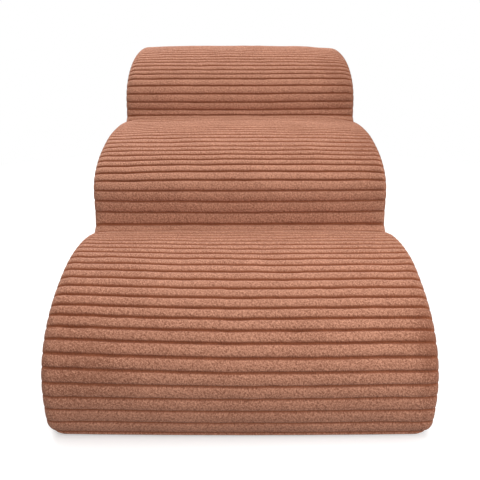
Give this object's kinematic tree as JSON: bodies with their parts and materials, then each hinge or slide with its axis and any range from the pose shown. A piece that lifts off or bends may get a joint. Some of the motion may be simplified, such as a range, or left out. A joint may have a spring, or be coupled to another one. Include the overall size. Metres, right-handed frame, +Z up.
{
  "type": "pet stairs",
  "caption": "Soft pet stairs with curved foam steps in a zip-off ribbed plush cover and a non-slip base.",
  "frame": {"origin": "on the floor, under the middle of the stairs' length and width", "axes": "+Z up; the stairs climb towards +Y; +X to the right, seen from the front; the zip runs along X, low on the back at +Y"},
  "size_m": [0.4, 0.8079, 0.362],
  "materials": {
    "foam": "open-cell polyurethane foam, matte cream",
    "ribbed_plush": "wide-ribbed short-pile plush, dusty rose brown",
    "side_cloth": "short-pile plain plush, dusty rose brown",
    "base_cloth": "dense woven cloth, matte brown grey",
    "grip_rubber": "soft moulded rubber, matte",
    "zip_tape": "woven polyester tape",
    "zip_teeth": "moulded, satin",
    "zip_metal": "dull plated zinc"
  },
  "bodies": {
    "stairs": {"foam_block_front": "foam", "foam_block_middle": "foam", "foam_block_rear": "foam", "cover_step_panel": "ribbed_plush", "cover_side_left": "side_cloth", "cover_side_right": "side_cloth", "cover_back_upper": "side_cloth", "cover_back_lower": "side_cloth", "base_panel": "base_cloth", "grip_dots": "grip_rubber", "zip_tape_upper": "zip_tape", "zip_tape_lower": "zip_tape", "zip_teeth_upper": "zip_teeth", "zip_teeth_lower": "zip_teeth", "zip_stops": "zip_teeth", "zip_end_tabs": "zip_tape"},
    "slider": {"zip_slider": "zip_metal"},
    "pull": {"zip_pull": "zip_metal"}
  },
  "joints": [
    {"name": "zip_slide", "type": "slide", "parent": "stairs", "child": "slider", "axis": [-1, 0, 0], "range_m": [0, 0.309]},
    {"name": "pull_hinge", "type": "hinge", "parent": "slider", "child": "pull", "pos_m": [0.1547, 0.4023, 0.062], "axis": [0, 0, -1], "range_deg": [0, 170]}
  ]
}
